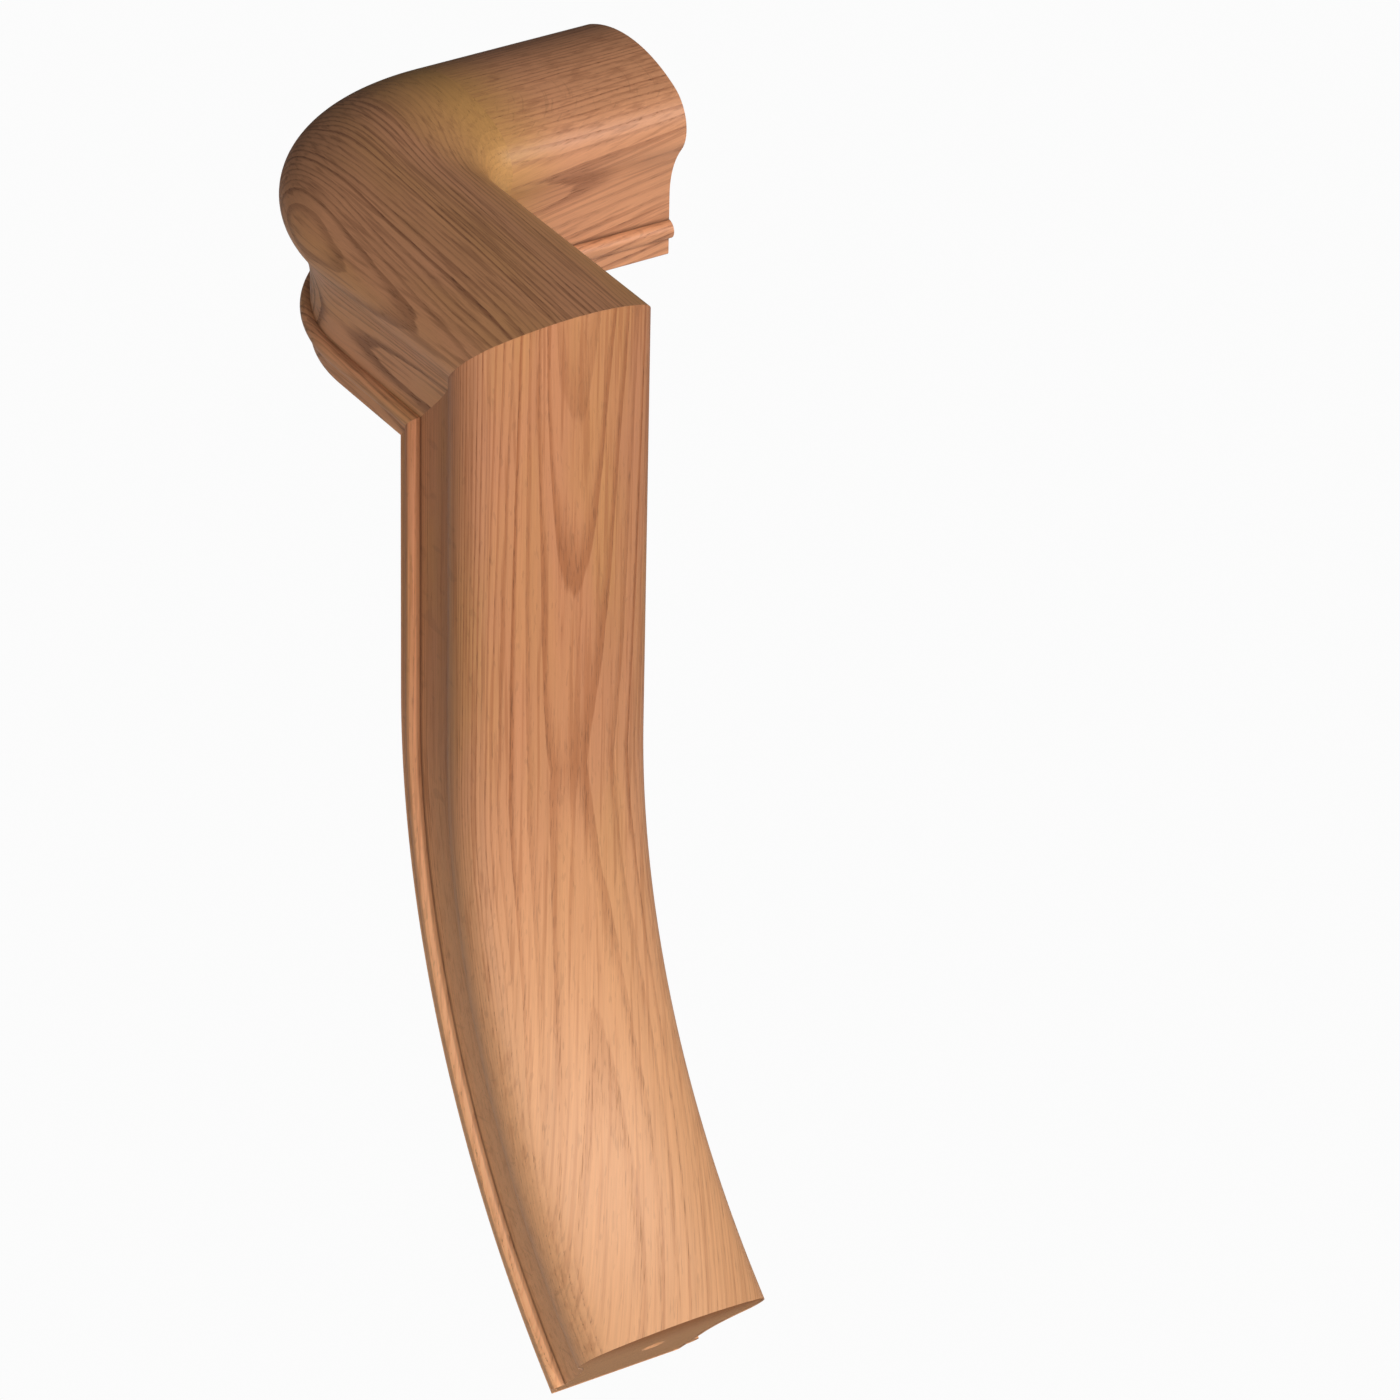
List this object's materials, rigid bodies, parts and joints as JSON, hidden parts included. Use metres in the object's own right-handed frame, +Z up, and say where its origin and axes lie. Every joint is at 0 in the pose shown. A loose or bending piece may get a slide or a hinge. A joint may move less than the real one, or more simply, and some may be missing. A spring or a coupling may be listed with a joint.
{
  "type": "handrail gooseneck fitting",
  "caption": "Moulded oak handrail fitting that rises from a raking rail through an easing and a plumb leg, then mitres level and turns right to meet a level rail.",
  "frame": {"origin": "mouth of the pilot hole in the raking end, where the fitting meets the rail below", "axes": "+Z up along the plumb leg, +X out of the level end, -Y down the stair towards the raking end"},
  "size_m": [0.1295, 0.2327, 0.335],
  "materials": {
    "leg_oak": "sanded, satin",
    "turn_oak": "sanded, satin",
    "arm_oak": "sanded, satin",
    "dowel_wood": "plain"
  },
  "bodies": {
    "root": {"easing_leg": "leg_oak", "quarter_turn": "turn_oak", "level_arm": "arm_oak", "mitre_dowels": "dowel_wood", "arm_dowels": "dowel_wood"}
  },
  "joints": []
}
